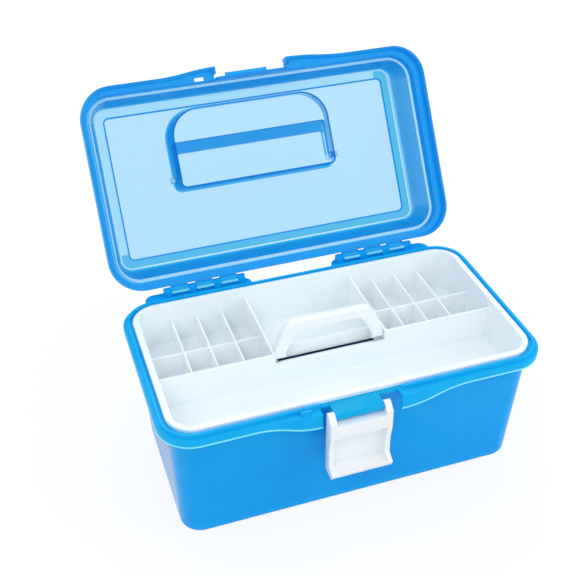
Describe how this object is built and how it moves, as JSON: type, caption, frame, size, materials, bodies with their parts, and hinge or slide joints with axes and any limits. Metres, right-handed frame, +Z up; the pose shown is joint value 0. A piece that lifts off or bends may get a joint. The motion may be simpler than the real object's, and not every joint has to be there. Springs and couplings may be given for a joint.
{
  "type": "art supply box",
  "caption": "Moulded art supply box with a hinged domed lid, fold-flat carry handle, front snap latch and a lift-out divided tray with its own swinging handle.",
  "frame": {"origin": "on the table under the middle of the tub's rim", "axes": "+X along the box, to the right seen from the front, +Y from the latch to the hinge, +Z up; the lid stands open"},
  "size_m": [0.301, 0.3146, 0.2666],
  "materials": {
    "blue_plastic": "translucent moulded polypropylene",
    "white_plastic": "satin moulded polypropylene"
  },
  "bodies": {
    "tub": {"base_tub": "blue_plastic", "hinge_pin_left": "blue_plastic", "hinge_pin_right": "blue_plastic"},
    "lid": {"lid": "blue_plastic"},
    "carry_handle": {"carry_handle": "blue_plastic"},
    "latch": {"latch": "white_plastic"},
    "tray": {"tray": "white_plastic"},
    "tray_handle": {"tray_handle": "white_plastic"}
  },
  "joints": [
    {"name": "lid_hinge", "type": "hinge", "parent": "tub", "child": "lid", "pos_m": [0, 0.0886, 0.1169], "axis": [1, 0, 0], "range_deg": [0, 123]},
    {"name": "carry_handle_swing", "type": "hinge", "parent": "lid", "child": "carry_handle", "pos_m": [-0.004, 0.17388, 0.17074], "axis": [-1, 0, 0], "range_deg": [0, 95]},
    {"name": "latch_swing", "type": "hinge", "parent": "tub", "child": "latch", "pos_m": [-0.0085, -0.0876, 0.11], "axis": [-1, 0, 0], "range_deg": [0, 178]},
    {"name": "tray_lift", "type": "slide", "parent": "tub", "child": "tray", "axis": [0, 0, -1], "range_m": [-0.15, 0]},
    {"name": "tray_handle_swing", "type": "hinge", "parent": "tray", "child": "tray_handle", "pos_m": [0, -0.003, 0.104], "axis": [1, 0, 0], "range_deg": [0, 93]}
  ]
}
